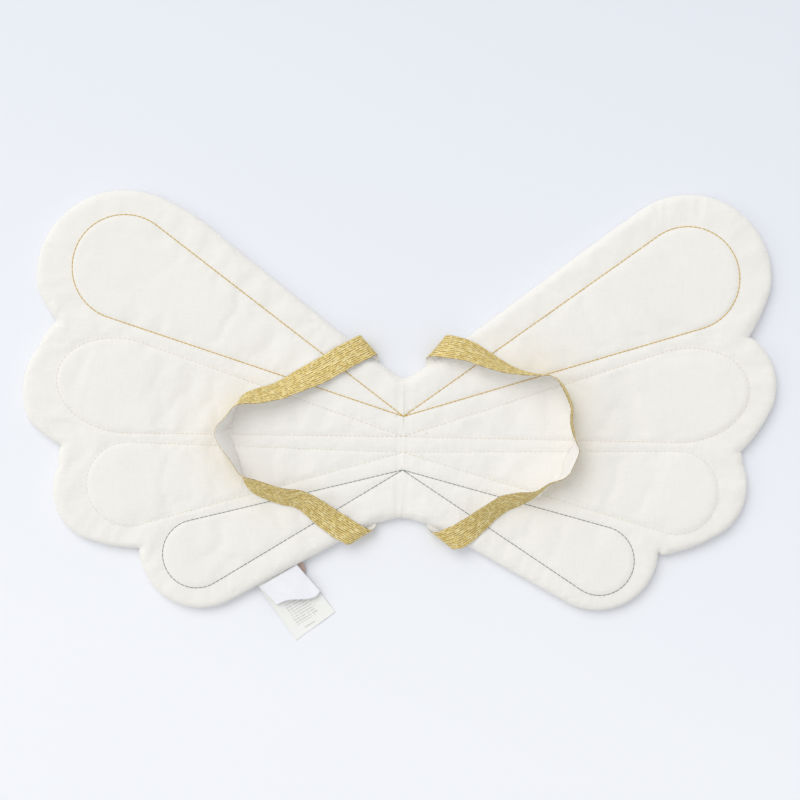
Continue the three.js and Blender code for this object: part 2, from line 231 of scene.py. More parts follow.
def outline(side):
    """A wing's edge from the top of the waist round to its bottom."""
    arcs = [arc(*scallop) for scallop in SCALLOPS[side]]
    upper = bezier(UPPER_WAIST_CURVE, WAIST_STEPS)
    corner = np.array(SHOULDERS[side])
    back_along = upper[-1] - corner
    back_along /= np.hypot(*back_along)
    straight_end = corner + back_along * np.hypot(*(arcs[0][0] - corner))
    shoulder = bezier([straight_end, corner, arcs[0][0]], SHOULDER_STEPS)
    stretches = [upper, bulge(upper[-1], straight_end), shoulder]
    for i, stretch in enumerate(arcs):
        if i > 0:
            notch = NOTCHES[side][i - 1]
            stretches.append(bulge(arcs[i - 1][-1], notch, INTO_NOTCH_BULGE))
            stretches.append(bulge(notch, stretch[0], OUT_OF_NOTCH_BULGE))
        stretches.append(stretch)
    lower = bezier(LOWER_WAIST_CURVE, WAIST_STEPS)
    stretches += [bulge(arcs[-1][-1], lower[0]), lower]
    return without_repeats(np.concatenate(stretches))


def feather_line(feather, side):
    """A line of stitching: from its tip out along the feather, round the head and back."""
    x, y, radius = feather[side]
    stretch, tip = feather["stretch"], np.array([0.0, feather["tip"]])
    axis = np.array([x, y]) - tip
    reach = np.hypot(*axis)
    tangent = math.asin(radius * stretch / reach)
    sweep = math.pi + 2 * tangent
    angles = np.linspace(-sweep / 2, sweep / 2, math.ceil(sweep * radius * stretch / HEAD_STEP))
    head = np.stack([stretch * radius * np.cos(angles), radius * np.sin(angles)], 1)
    unit = axis / reach
    head = head @ np.array([unit, [-unit[1], unit[0]]]) + (x, y)
    count = math.ceil(reach / EDGE_STEP)
    out, back = bezier([tip, head[0]], count), bezier([head[-1], tip], count)
    return without_repeats(np.concatenate([out, head, back]))


def arc_length(line):
    """How far along the line each of its points is."""
    return np.r_[0, np.cumsum(np.linalg.norm(np.diff(line, axis=0), axis=1))]


def at_length(line, places):
    """Points on a line at these distances along it."""
    along = arc_length(line)
    return np.stack([np.interp(places, along, line[:, k]) for k in range(line.shape[1])], -1)


def nearest(points, line):
    """Each point's distance to a line, and how far along the line its nearest place is."""
    start, step = line[:-1], np.diff(line, axis=0)
    length2 = (step**2).sum(1)
    along = arc_length(line)
    far, place = np.empty(len(points)), np.empty(len(points))
    batches = max(1, len(points) * len(start) // NEAREST_BATCH)
    for rows in np.array_split(np.arange(len(points)), batches):
        to = points[rows, None] - start
        t = np.clip((to * step).sum(2) / length2, 0, 1)
        gap = np.linalg.norm(to - t[..., None] * step, axis=2)
        best = gap.argmin(1)
        far[rows] = gap[np.arange(len(rows)), best]
        place[rows] = along[best] + t[np.arange(len(rows)), best] * np.sqrt(length2[best])
    return far, place


def ripple(points, wavelength, seed):
    """A smooth random field of about unit size, made of plane waves of nearly one wavelength."""
    random = np.random.default_rng(seed)
    angles = random.uniform(0, 2 * np.pi, RIPPLE_WAVES)
    numbers = 2 * np.pi / (wavelength * random.uniform(0.75, 1.4, RIPPLE_WAVES))
    phases = random.uniform(0, 2 * np.pi, RIPPLE_WAVES)
    directions = np.stack([np.cos(angles), np.sin(angles)]) * numbers
    return np.sin(points @ directions + phases).sum(1) / math.sqrt(RIPPLE_WAVES / 2)


# ---- The pad's two faces ----
class Wing:
    """One wing's lines, and the height of its two faces over any point, written for +X."""

    def __init__(self, side, seed):
        self.side, self.seed = side, seed
        self.edge = outline(side)
        self.lines = {name: feather_line(feather, side) for name, feather in FEATHERS.items()}

    def crease(self, points, x0, y0, x1, y1):
        """How deep a pucker is at each point: deepest at its start and gone at its end."""
        far, place = nearest(points, np.array([(x0, y0), (x1, y1)], float))
        fade = 1 - place / math.hypot(x1 - x0, y1 - y0)
        return CREASE_DEPTH * fade * np.exp(-((far / CREASE_WIDTH) ** 2))

    def heights(self, points):
        """The height of the back face and of the front face."""
        from_edge, along_edge = nearest(points, self.edge)
        stitched = [nearest(points, line) for line in self.lines.values()]
        from_stitch = np.min([far for far, _ in stitched], axis=0)
        top_rim, bottom_rim = (
            np.sqrt(1 - (1 - np.clip(from_edge / width, 0, 1)) ** 2) for width in (TOP_RIM, BOTTOM_RIM)
        )
        dip = DIP_DEPTH * np.exp(-((from_stitch / DIP_WIDTH) ** 2))
        furrow = np.exp(-((from_stitch / CHANNEL_WIDTH) ** 2)) + dip
        height, wavelength, reach = GATHERS
        along_edge = np.stack([along_edge, 0 * along_edge], 1)
        gathers = height * (ripple(along_edge, wavelength, self.seed) * np.exp(-from_edge / reach))
        puckers = sum(self.crease(points, *ends) for ends in CREASES[self.side])
        undulation = sum(
            height * ripple(points, wavelength, self.seed + i)
            for i, (height, wavelength) in enumerate(UNDULATIONS, 1)
        )
        depth, place, width = MIDDLE_FOLD
        middle_fold = depth * np.exp(-(((points[:, 0] - place) / width) ** 2))
        relief = undulation + gathers - middle_fold - puckers - CHANNEL_DEPTH * furrow
        back = LOFT * top_rim + top_rim * relief
        front = MIDDLE * bottom_rim - bottom_rim * FRONT_CHANNEL_DEPTH * furrow
        return MIDDLE + back, MIDDLE - np.minimum(front, MIDDLE)


def spread(groups, clearances):
    """The groups of points in order of importance, without those that come too close to an earlier group."""
    kept = []
    for points, clearance in zip(groups, clearances):
        if kept:
            earlier = np.concatenate(kept)
            tree = KDTree(len(earlier))
            for i, (x, y) in enumerate(earlier):
                tree.insert((x, y, 0), i)
            tree.balance()
            far = np.array([tree.find((x, y, 0))[2] for x, y in points])
            points = points[far > clearance]
        kept.append(points)
    return np.concatenate(kept)


def rows_beside(line, offsets):
    """Copies of a line, set off to its right-hand side."""
    along = np.gradient(line, axis=0)
    normal = np.stack([along[:, 1], -along[:, 0]], 1)
    normal /= np.linalg.norm(normal, axis=1)[:, None]
    return np.concatenate([line + normal * offset for offset in offsets])


def pad_points(wing):
    """The points of the pad's mesh in plan: its border, and the rows and grid of points inside it."""
    top, bottom = wing.edge[0], wing.edge[-1]
    middle_line = bezier([bottom, top], math.ceil((top[1] - bottom[1]) / MIDDLE_STEP))
    border = np.concatenate([wing.edge, middle_line[1:-1]])
    rim = rows_beside(wing.edge, RIM_ROWS)
    rim_offsets = np.repeat(RIM_ROWS, len(wing.edge))
    rim = rim[nearest(rim, wing.edge)[0] > rim_offsets - AT_EDGE]
    stitched = []
    for line in wing.lines.values():
        even = at_length(line, np.arange(0, arc_length(line)[-1], STITCH_PITCH / 2))
        stitched.append(rows_beside(even, STITCH_ROWS))
    columns = np.arange(*GRID_X, GRID_STEP)
    rows = np.arange(*GRID_Y, GRID_STEP * math.sqrt(3) / 2)
    grid = np.stack(np.meshgrid(columns, rows), -1)
    grid[1::2, :, 0] += GRID_STEP / 2
    groups = [np.concatenate(stitched), rim, grid.reshape(-1, 2)]
    inner = spread(groups, [0, CLEARANCE, GRID_CLEARANCE])
    inside = (inner[:, 0] > CLEARANCE) & within(inner, border)
    inner = inner[inside]
    return border, inner[nearest(inner, wing.edge)[0] > EDGE_CLEARANCE]


def within(points, polygon):
    """Whether each point is inside a closed polygon."""
    start, end = polygon, np.roll(polygon, -1, axis=0)
    x, y = points[:, 0, None], points[:, 1, None]
    crosses = (start[:, 1] > y) != (end[:, 1] > y)
    run, rise = (end - start).T
    reach = start[:, 0] + (y - start[:, 1]) * run / (rise + 1e-12)
    return (crosses & (x < reach)).sum(1) % 2 == 1


# ---- Meshes ----
def add_mesh(name, vertices, faces, materials, uv=None, indices=None):
    """A smooth mesh object from millimetres, with uv given for each vertex."""
    mesh = bpy.data.meshes.new(name)
    mesh.from_pydata((np.asarray(vertices) * MM).tolist(), [], [list(map(int, f)) for f in faces])
    if uv is not None:
        corner = np.empty(len(mesh.loops), np.int32)
        mesh.loops.foreach_get("vertex_index", corner)
        layer = mesh.uv_layers.new(name="cloth")
        layer.data.foreach_set("uv", np.asarray(uv)[corner].astype(np.float32).ravel())
    for material in materials:
        mesh.materials.append(material)
    if indices is not None:
        mesh.polygons.foreach_set("material_index", np.asarray(indices, np.int32))
    mesh.polygons.foreach_set("use_smooth", np.ones(len(mesh.polygons), bool))
    mesh.update()
    obj = bpy.data.objects.new(name, mesh)
    bpy.context.scene.collection.objects.link(obj)
    return obj


def make_pad(wing, material):
    """One wing's pad with its half of the waist, a closed form with both faces."""
    border, inner = pad_points(wing)
    plan = np.concatenate([border, inner])
    verts, _, triangles, _, _, _ = delaunay_2d_cdt(
        [Vector(p) for p in plan], [], [list(range(len(border)))], 1, 1e-5
    )
    plan = np.array([tuple(v) for v in verts])
    triangles = np.array(triangles)
    corners = plan[triangles]
    side1, side2 = corners[:, 1] - corners[:, 0], corners[:, 2] - corners[:, 0]
    clockwise = side1[:, 0] * side2[:, 1] - side1[:, 1] * side2[:, 0] < 0
    triangles[clockwise] = triangles[clockwise][:, ::-1]
    back, front = wing.heights(plan)
    on_edge = nearest(plan, wing.edge)[0] < 1e-3
    back[on_edge] = MIDDLE
    lower = np.arange(len(plan)) + len(plan)
    lower[on_edge] = np.flatnonzero(on_edge)
    vertices = np.concatenate([np.c_[plan, back], np.c_[plan, front]])
    cut = np.flatnonzero(plan[:, 0] < 1e-6)
    cut = cut[np.argsort(plan[cut, 1])]
    wall = [[*dict.fromkeys([a, b, lower[b], lower[a]])] for a, b in zip(cut[:-1], cut[1:])]
    wall = [face[::-1] for face in wall if len(face) > 2]
    faces = triangles.tolist() + lower[triangles][:, ::-1].tolist() + wall
    used = np.unique(np.concatenate([np.ravel(f) for f in faces]))
    renumber = np.full(len(vertices), -1)
    renumber[used] = np.arange(len(used))
    vertices = vertices[used]
    faces = [renumber[f].tolist() for f in faces]
    if SIGN[wing.side] < 0:
        vertices = vertices * (-1, 1, 1)
        faces = [f[::-1] for f in faces]
    pad = add_mesh(f"pad_{wing.side}", vertices, faces, [material], uv=vertices[:, :2] * MM)
    pad.data.set_sharp_from_angle(angle=PAD_CREASE_ANGLE)
    return pad


def vertices_of(mesh):
    """The places of a mesh's vertices, in millimetres."""
    places = np.empty(3 * len(mesh.vertices))
    mesh.vertices.foreach_get("co", places)
    return places.reshape(-1, 3) / MM


def puff(pad, wing):
    """Fills the pad in a cloth simulation: seams and stitching hold, and the slack puckers between them."""
    before = vertices_of(pad.data)
    plan = before[:, :2] * (SIGN[wing.side], 1)
    from_edge = nearest(plan, wing.edge)[0]
    from_stitch = np.min([nearest(plan, line)[0] for line in wing.lines.values()], axis=0)
    sewn = (from_stitch < SEWN_REACH) | (from_edge < AT_EDGE) | (plan[:, 0] < SEWN_REACH)
    pad.vertex_groups.new(name="sewn").add(np.flatnonzero(sewn).tolist(), 1.0, "REPLACE")
    cloth = pad.modifiers.new("cloth", "CLOTH")
    for name, value in FABRIC.items():
        setattr(cloth.settings, name, value)
    cloth.settings.effector_weights.gravity = 0
    cloth.point_cache.frame_start, cloth.point_cache.frame_end = 1, PUFF_FRAMES
    for moment in range(1, PUFF_FRAMES + 1):
        bpy.context.scene.frame_set(moment)
    puffed = pad.evaluated_get(bpy.context.evaluated_depsgraph_get())
    move = vertices_of(puffed.to_mesh()) - before
    puffed.to_mesh_clear()
    pad.modifiers.remove(cloth)
    pad.vertex_groups.clear()
    reach = np.linalg.norm(move, axis=1)[:, None] + 1e-9
    after = before + move / reach * MOST_PUFF * np.tanh(reach / MOST_PUFF)
    after[:, 2] = np.clip(after[:, 2], 0, PAD_THICKNESS + PUFF_HEADROOM)
    pad.data.vertices.foreach_set("co", (after * MM).ravel())
    pad.data.update()
    bpy.context.scene.frame_set(1)


def tubes(paths, radius):
    """Closed tubes along many short paths of as many points each, as vertices, faces and uv."""
    count, steps, _ = paths.shape
    along = np.gradient(paths, axis=1)
    along /= np.linalg.norm(along, axis=2)[..., None]
    across = np.cross(along, (0, 0, 1))
    across /= np.linalg.norm(across, axis=2)[..., None]
    up = np.cross(across, along)
    angles = np.arange(TUBE_SIDES) * 2 * np.pi / TUBE_SIDES
    cosine, sine = np.cos(angles)[:, None], np.sin(angles)[:, None]
    ring = radius * (cosine * across[:, :, None] + sine * up[:, :, None])
    vertices = (paths[:, :, None] + ring).reshape(-1, 3)
    number = np.arange(count * steps * TUBE_SIDES).reshape(count, steps, TUBE_SIDES)
    beside = np.roll(number, -1, axis=2)
    walls = np.stack([number[:, :-1], beside[:, :-1], beside[:, 1:], number[:, 1:]], -1).reshape(-1, 4)
    ends = np.concatenate([number[:, 0, ::-1], number[:, -1]])
    place = np.linalg.norm(np.diff(paths, axis=1), axis=2).cumsum(1)
    place = np.concatenate([np.zeros((count, 1)), place], 1)
    around = np.arange(TUBE_SIDES) / TUBE_SIDES
    uv = np.stack(np.broadcast_arrays(place[:, :, None] * MM, around[None, None]), -1)
    return vertices, walls.tolist() + ends.tolist(), uv.reshape(-1, 2)


def make_stitches(wing, name, material):
    """A feather's stitches on both faces: each leaves its hole, lies on the cloth and dips into the next."""
    line = wing.lines[name]
    total = arc_length(line)[-1]
    count = round(total / STITCH_PITCH)
    random = np.random.default_rng(wing.seed + len(name))
    t = np.linspace(-0.5, 0.5, STITCH_POINTS)
    middles = (np.arange(count) + 0.5) * total / count + random.normal(0, STITCH_JITTER, count)
    length, radius = STITCHES[name]
    places = middles[:, None] + t * length
    flat = at_length(line, places.ravel())
    back, front = wing.heights(flat)
    arch = np.tile(STITCH_RISE * radius - STITCH_DIP * radius * (2 * np.abs(t)) ** 6, count)
    paths = [np.c_[flat, back + arch], np.c_[flat, np.maximum(front - arch, radius)]]
    paths = np.concatenate(paths).reshape(2 * count, len(t), 3) * (SIGN[wing.side], 1, 1)
    vertices, faces, uv = tubes(paths, radius)
    return add_mesh(f"{name}_stitches_{wing.side}", vertices, faces, [material], uv=uv)


# ---- Straps ----
def smooth_curve(stations, step):
    """Points a step apart on a smooth cubic curve through the stations, with their distances along it."""
    rows = np.array(stations, float)
    knots = np.r_[0, np.cumsum(np.linalg.norm(np.diff(rows[:, :3], axis=0), axis=1) ** 0.5)]
    slope = np.gradient(rows, knots, axis=0)
    t = (np.arange(STATION_STEPS) / STATION_STEPS)[:, None]
    pieces = []
    for i, gap in enumerate(np.diff(knots)):
        start = (1 + 2 * t) * (1 - t) ** 2 * rows[i] + t**2 * (3 - 2 * t) * rows[i + 1]
        pieces.append(start + gap * (t * (1 - t) ** 2 * slope[i] - t**2 * (1 - t) * slope[i + 1]))
    line = np.concatenate([*pieces, rows[-1:]])
    along = arc_length(line[:, :3])
    places = np.linspace(0, along[-1], round(along[-1] / step) + 1)
    return np.stack([np.interp(places, along, line[:, k]) for k in range(rows.shape[1])], 1), places


def make_strap(side, materials):
    """A loop of ribbed elastic, gilded above and plain below, whose ends turn over the rim into the seam."""
    random = np.random.default_rng(40 + SIGN[side])
    stations, places = smooth_curve(STRAPS[side], STRAP_STEP)
    x, y, lift, heading, roll = stations.T
    heading, roll = np.radians(heading), np.radians(roll)
    across = np.stack([np.cos(heading) * np.cos(roll), np.sin(heading) * np.cos(roll), np.sin(roll)], 1)
    middle = np.stack([x, y, PAD_THICKNESS + lift + STRAP_WIDTH / 2 * np.sin(roll)], 1)
    along = np.gradient(middle, axis=0)
    normal = np.cross(along, across) * -SIGN[side]
    normal /= np.linalg.norm(normal, axis=1)[:, None]
    share = np.linspace(-1, 1, STRAP_COLUMNS + 1)
    sway = ripple(np.stack([places, 0 * places], 1), SWAY_LENGTH, 7 + SIGN[side])
    waviness = 1 + SWAY * (sway + random.normal(0, 0.3, len(places)))
    width = STRAP_WIDTH / 2 * share[None] * waviness[:, None]
    surface = middle[:, None] + across[:, None] * width[..., None]
    ribs = RIB_HEIGHT * np.cos(np.pi * STRAP_RIBS * (share + 1 / STRAP_RIBS))
    edge = np.sqrt(1 - 0.75 * np.abs(share) ** 16)
    above = surface + normal[:, None] * ((STRAP_THICKNESS / 2 + ribs) * edge)[None, :, None]
    below = surface - normal[:, None] * ((STRAP_THICKNESS / 2 + 0.5 * ribs) * edge)[None, :, None]
    ring = np.concatenate([above, below[:, ::-1]], 1)
    rows, columns, _ = ring.shape
    number = np.arange(rows * columns).reshape(rows, columns)
    beside = np.roll(number, -1, axis=1)
    walls = np.stack([number[:-1], beside[:-1], beside[1:], number[1:]], -1)
    across_place = np.r_[(share + 1) / 2, (share[::-1] + 1) / 2] * STRAP_WIDTH * MM
    uv = np.stack(np.broadcast_arrays(places[:, None] * MM, across_place[None]), -1).reshape(-1, 2)
    reverse = np.arange(columns) > STRAP_COLUMNS
    reverse[-1] = False
    faces = walls.reshape(-1, 4).tolist() + [number[0, ::-1].tolist(), number[-1].tolist()]
    if SIGN[side] < 0:
        faces = [face[::-1] for face in faces]
    indices = np.r_[np.tile(reverse, rows - 1), [False, False]]
    vertices = ring.reshape(-1, 3)
    strap = add_mesh(f"elastic_strap_{side}", vertices, faces, materials, uv=uv, indices=indices)
    strap.data.set_sharp_from_angle(angle=SHEET_CREASE_ANGLE)
    return strap, places[-1]


# ---- Labels ----
def label_point(s, v, z):
    """A place s along the way the labels hang, v across it towards the waist, and z above the floor."""
    heading = math.radians(LABEL_HEADING)
    x = LABEL_SEAM[0] + s * math.cos(heading) - v * math.sin(heading)
    y = LABEL_SEAM[1] + s * math.sin(heading) + v * math.cos(heading)
    return np.stack(np.broadcast_arrays(x, y, z), -1)


def make_sheet(name, points, thickness, material, uv):
    """A closed thin sheet from a grid of points on its upper face."""
    rows, columns, _ = points.shape
    du, dv = np.gradient(points, axis=0), np.gradient(points, axis=1)
    normal = np.cross(du, dv)
    normal /= np.linalg.norm(normal, axis=2)[..., None]
    vertices = np.concatenate([points.reshape(-1, 3), (points - normal * thickness).reshape(-1, 3)])
    number = np.arange(rows * columns).reshape(rows, columns)
    upper = np.stack([number[:-1, :-1], number[1:, :-1], number[1:, 1:], number[:-1, 1:]], -1)
    upper = upper.reshape(-1, 4)
    rim = np.concatenate([number[:, 0], number[-1, 1:], number[-2::-1, -1], number[0, -2:0:-1]])
    after, below = np.roll(rim, -1), rows * columns
    walls = np.stack([rim, rim + below, after + below, after], -1)
    faces = np.concatenate([upper, upper[:, ::-1] + below, walls]).tolist()
    sheet = add_mesh(name, vertices, faces, [material], uv=np.tile(uv.reshape(-1, 2), (2, 1)))
    sheet.data.set_sharp_from_angle(angle=SHEET_CREASE_ANGLE)
    return sheet


def make_care_label(material):
    """A thin printed label that droops from the seam to the floor, a little curled across."""
    s = np.linspace(-1.5, LABEL_LENGTH + 0.5, 53)
    s, v = np.meshgrid(s, np.linspace(-1, 1, 41), indexing="ij")
    across = v * (17.6 + 1.7 * s / LABEL_LENGTH)
    slant = LABEL_SLANT * across * np.clip(1 - s / LABEL_LENGTH, 0, 1)
    down = np.clip(s / LABEL_LENGTH, 0, 1)
    curl = 0.5 * v**2 * down + 0.35 * np.sin(3.2 * v + 0.6) * down
    waves = 0.25 * np.sin(s / 5.5 + 1.2 * v) * np.sin(np.pi * down)
    z = LABEL_FLOOR + (LABEL_SEAM[2] - LABEL_FLOOR) * (1 - down) ** 1.6 + curl + waves
    points = label_point(s + slant, across, np.maximum(z, LABEL_FLOOR))
    uv = np.stack([s, across], -1) * MM
    return make_sheet("care_label_sheet", points, CARE_THICKNESS, material, uv)


def make_satin_label(material):
    """A folded satin label: two leaves from the seam that meet in a soft fold, which lifts at its middle."""
    v = np.linspace(-1, 1, 41)
    reach = 25.4 + 6.2 * np.sin(np.pi * 0.62 * v) - 1.6 * v**6
    lift = 1.6 + 1.5 * np.cos(np.pi * 0.5 * (v + 0.25))
    t = np.linspace(0, np.pi, 11)[1:-1]
    flat = np.linspace(0, 1, SATIN_STEPS)
    share = np.concatenate([flat, np.full(len(t), 1.0), flat[::-1]])
    turn = np.concatenate([np.zeros(SATIN_STEPS), t, np.full(SATIN_STEPS, np.pi)])
    share, v = np.meshgrid(share, v, indexing="ij")
    turn = turn[:, None]
    radius = 0.35 + 0.35 * share**2
    s = share * (reach - 0.7)[None] + radius * np.sin(turn)
    across = v * 17.1 + 2.6 * share
    belly = 0.5 * np.sin(np.pi * share) * (1 - v**2)
    base = LABEL_SEAM[2] + 0.8 - 3.4 * share + lift[None] * share**1.7 + belly
    z = base + radius * (1 + np.cos(turn))
    points = label_point(s + LABEL_SLANT * across * (1 - share), across, z)
    place = arc_length(np.stack([share[:, 0] * 26, turn[:, 0], 0 * share[:, 0]], 1))
    uv = np.stack(np.broadcast_arrays(place[:, None], across), -1) * MM
    return make_sheet("satin_label_sheet", points, SATIN_THICKNESS, material, uv)


def make_tab(material):
    """The corner of a tan tape that is caught in the seam under the labels."""
    s, v = np.meshgrid(np.linspace(0, 1, 12), np.linspace(0, 1, 8), indexing="ij")
    near = 13.5 + 8.6 * v
    far = 12.5 + 5 * v
    across = near + (far - near) * s + 1.2 * np.sin(np.pi * s) * v
    z = LABEL_SEAM[2] - 1.1 - 2.2 * s**1.2 + 0.2 * np.sin(9 * v) * s
    points = label_point(0.4 + LABEL_SLANT * near + 10 * s, across, z)
    return make_sheet("tan_tab_sheet", points, TAB_THICKNESS, material, np.stack([10 * s, 8 * v], -1) * MM)


# ---- Materials ----
def linear(red, green, blue):
    """An sRGB colour of 0 to 255 as a shader colour."""
    shares = (red / 255, green / 255, blue / 255)
    return (*(c / 12.92 if c <= 0.04045 else ((c + 0.055) / 1.055) ** 2.4 for c in shares), 1.0)


class Shader:
    """A material's node tree, written as short calls."""

    def __init__(self, name, roughness, **sockets):
        self.material = bpy.data.materials.new(name)
        self.material.use_nodes = True
        self.nodes = self.material.node_tree.nodes
        self.links = self.material.node_tree.links
        self.surface = self.nodes["Principled BSDF"]
        self.surface.inputs["Roughness"].default_value = roughness
        for socket, value in sockets.items():
            self.surface.inputs[socket.replace("_", " ")].default_value = value
        self.place = self.add("ShaderNodeUVMap", uv_map="cloth").outputs["UV"]

    def add(self, kind, inputs=None, **settings):
        """A new node, with each input linked to another node's output or set to a value."""
        node = self.nodes.new(kind)
        for name, value in settings.items():
            setattr(node, name, value)
        for name, value in (inputs or {}).items():
            if isinstance(value, bpy.types.NodeSocket):
                self.links.new(value, node.inputs[name])
            else:
                node.inputs[name].default_value = value
        return node

    def scaled(self, x, y, angle=0.0):
        """The place on the cloth, turned and stretched for a texture."""
        inputs = {"Vector": self.place, "Scale": (x, y, 1), "Rotation": (0, 0, angle)}
        return self.add("ShaderNodeMapping", inputs).outputs["Vector"]

    def noise(self, scale, vector=None, detail=2.0, roughness=0.5):
        inputs = {"Vector": vector or self.place, "Scale": scale, "Detail": detail, "Roughness": roughness}
        return self.add("ShaderNodeTexNoise", inputs).outputs["Fac"]

    def wave(self, scale, vector, distortion):
        inputs = {"Vector": vector, "Scale": scale, "Distortion": distortion}
        inputs |= {"Detail": 1.0, "Detail Scale": 0.6}
        return self.add("ShaderNodeTexWave", inputs, bands_direction="X").outputs["Fac"]

    def woven(self, scale, distortion):
        """Threads in both directions."""
        warp = self.wave(scale, self.scaled(1, 1), distortion)
        weft = self.wave(scale, self.scaled(1, 1, math.pi / 2), distortion)
        return self.math("MAXIMUM", warp, weft)

    def math(self, operation, a, b=0.0):
        return self.add("ShaderNodeMath", {0: a, 1: b}, operation=operation).outputs[0]

    def dot(self, direction):
        inputs = {0: self.place, 1: direction}
        return self.add("ShaderNodeVectorMath", inputs, operation="DOT_PRODUCT").outputs["Value"]

    def humps(self, direction):
        """Rounded humps side by side, as many to the metre as the direction is long."""
        return self.math("ABSOLUTE", self.math("SINE", self.math("MULTIPLY", self.dot(direction), math.pi)))

    def ramp(self, value, *stops):
        node = self.add("ShaderNodeValToRGB", {"Fac": value})
        elements = node.color_ramp.elements
        while len(elements) < len(stops):
            elements.new(0.5)
        for element, (position, colour) in zip(elements, stops):
            element.position, element.color = position, colour
        return node.outputs["Color"]

    def mix(self, share, a, b):
        """A mix of two colours, which are the node's inputs 6 and 7."""
        return self.add("ShaderNodeMix", {"Factor": share, 6: a, 7: b}, data_type="RGBA").outputs[2]

    def bump(self, height, distance, below=None):
        """Relief of this height in millimetres, on top of the relief below."""
        inputs = {"Height": height, "Distance": distance * MM}
        if below is not None:
            inputs["Normal"] = below
        return self.add("ShaderNodeBump", inputs).outputs["Normal"]

    def finish(self, colour, normal):
        self.links.new(colour, self.surface.inputs["Base Color"])
        self.links.new(normal, self.surface.inputs["Normal"])
        return self.material


def cotton_material():
    """Ivory plain-weave cotton, with thicker slubs in both directions and a faint warm mottle."""
    s = Shader("cotton", 0.9, Sheen_Weight=0.25, Sheen_Roughness=0.5, Specular_IOR_Level=0.2)
    weave = s.woven(520, 1.2)
    slubs = s.math("ADD", s.noise(1, s.scaled(1500, 60)), s.noise(1, s.scaled(60, 1500)))
    creases = s.noise(30, detail=4, roughness=0.55)
    normal = s.bump(creases, 0.8)
    normal = s.bump(slubs, 0.12, normal)
    normal = s.bump(weave, 0.07, normal)
    mottle = s.ramp(s.noise(14, detail=3), (0.3, linear(245, 242, 236)), (0.7, linear(248, 245, 239)))
    threads = s.math("MULTIPLY", s.math("SUBTRACT", slubs, 0.75), 0.5)
    return s.finish(s.mix(threads, mottle, linear(238, 234, 224)), normal)


def thread_material(name, light, groove_shade):
    """Embroidery thread of two twisted plies, with painted shade darkening the grooves between them."""
    s = Shader(name, 0.55, Sheen_Weight=0.3)
    plies = s.humps((1100, 2, 0))
    # painted shade: the colour turns to the darker one in the grooves between the plies
    return s.finish(s.ramp(plies, (0.15, groove_shade), (0.7, light)), s.bump(plies, 0.12))


def gold_material():
    """Metallised elastic: gold film over fine ribs, painted shade in broken dark lines between them, and
    painted glints in bright flecks.
    """
    s = Shader("gold_elastic", 0.45, Metallic=0.15, Specular_IOR_Level=0.5)
    rib = s.humps((0, RIBS_PER_METRE, 0))
    patches = s.noise(1, s.scaled(330, 650), 1)
    broken = s.ramp(patches, (0.4, (0.15, 0.15, 0.15, 1)), (0.58, (1, 1, 1, 1)))
    # painted shade: the gold darkens to brown in the valleys between the ribs, broken into patches
    between = s.math("SUBTRACT", 1.0, s.math("POWER", rib, 0.8))
    valley_shade = s.math("MULTIPLY", between, s.math("MULTIPLY", broken, 1.5))
    picks = s.humps((1900, 700, 0))
    # painted glints: random cells of the film are painted brighter; the same cells also raise the relief
    cells = s.add("ShaderNodeTexVoronoi", {"Vector": s.place, "Scale": 1500.0})
    fleck_glints = s.add("ShaderNodeSeparateColor", {"Color": cells.outputs["Color"]}).outputs[0]
    tone = s.math("ADD", s.math("MULTIPLY", fleck_glints, 0.4), s.math("MULTIPLY", s.noise(200, detail=3), 0.6))
    # painted highlights: the palest stops of this ramp put the film's glints into its colour
    gold = s.ramp(
        tone,
        (0.25, linear(212, 183, 100)),
        (0.42, linear(232, 207, 130)),
        (0.6, linear(243, 224, 152)),
        (0.75, linear(253, 244, 196)),
    )
    gold = s.mix(valley_shade, gold, linear(152, 120, 56))
    height = s.math("ADD", s.math("MULTIPLY", picks, 0.4), s.math("MULTIPLY", fleck_glints, 0.8))
    height = s.math("ADD", height, s.math("MULTIPLY", rib, 0.6))
    return s.finish(gold, s.bump(height, 0.12))


def reverse_material():
    """The strap's plain reverse: soft white ribs, with painted shade darker and warmer between them."""
    s = Shader("elastic_reverse", 0.8, Sheen_Weight=0.2, Specular_IOR_Level=0.2)
    rib = s.humps((0, RIBS_PER_METRE, 0))
    knit = s.wave(640, s.scaled(1, 1), 1.5)
    # painted shade: the ribs' colour turns darker and warmer in the grooves between them
    colour = s.ramp(rib, (0.0, linear(234, 227, 215)), (0.5, linear(251, 248, 243)))
    return s.finish(colour, s.bump(s.math("ADD", rib, s.math("MULTIPLY", knit, 0.5)), 0.16))


def satin_material():
    """White satin with fine threads across it and a soft gloss."""
    s = Shader("label_white", 0.32, Sheen_Weight=0.15, Specular_IOR_Level=0.55)
    threads = s.wave(1100, s.scaled(1, 1), 0.6)
    soft = s.noise(90, detail=2)
    colour = s.ramp(soft, (0.3, linear(240, 240, 245)), (0.7, linear(246, 246, 250)))
    return s.finish(colour, s.bump(threads, 0.03, s.bump(soft, 0.5)))


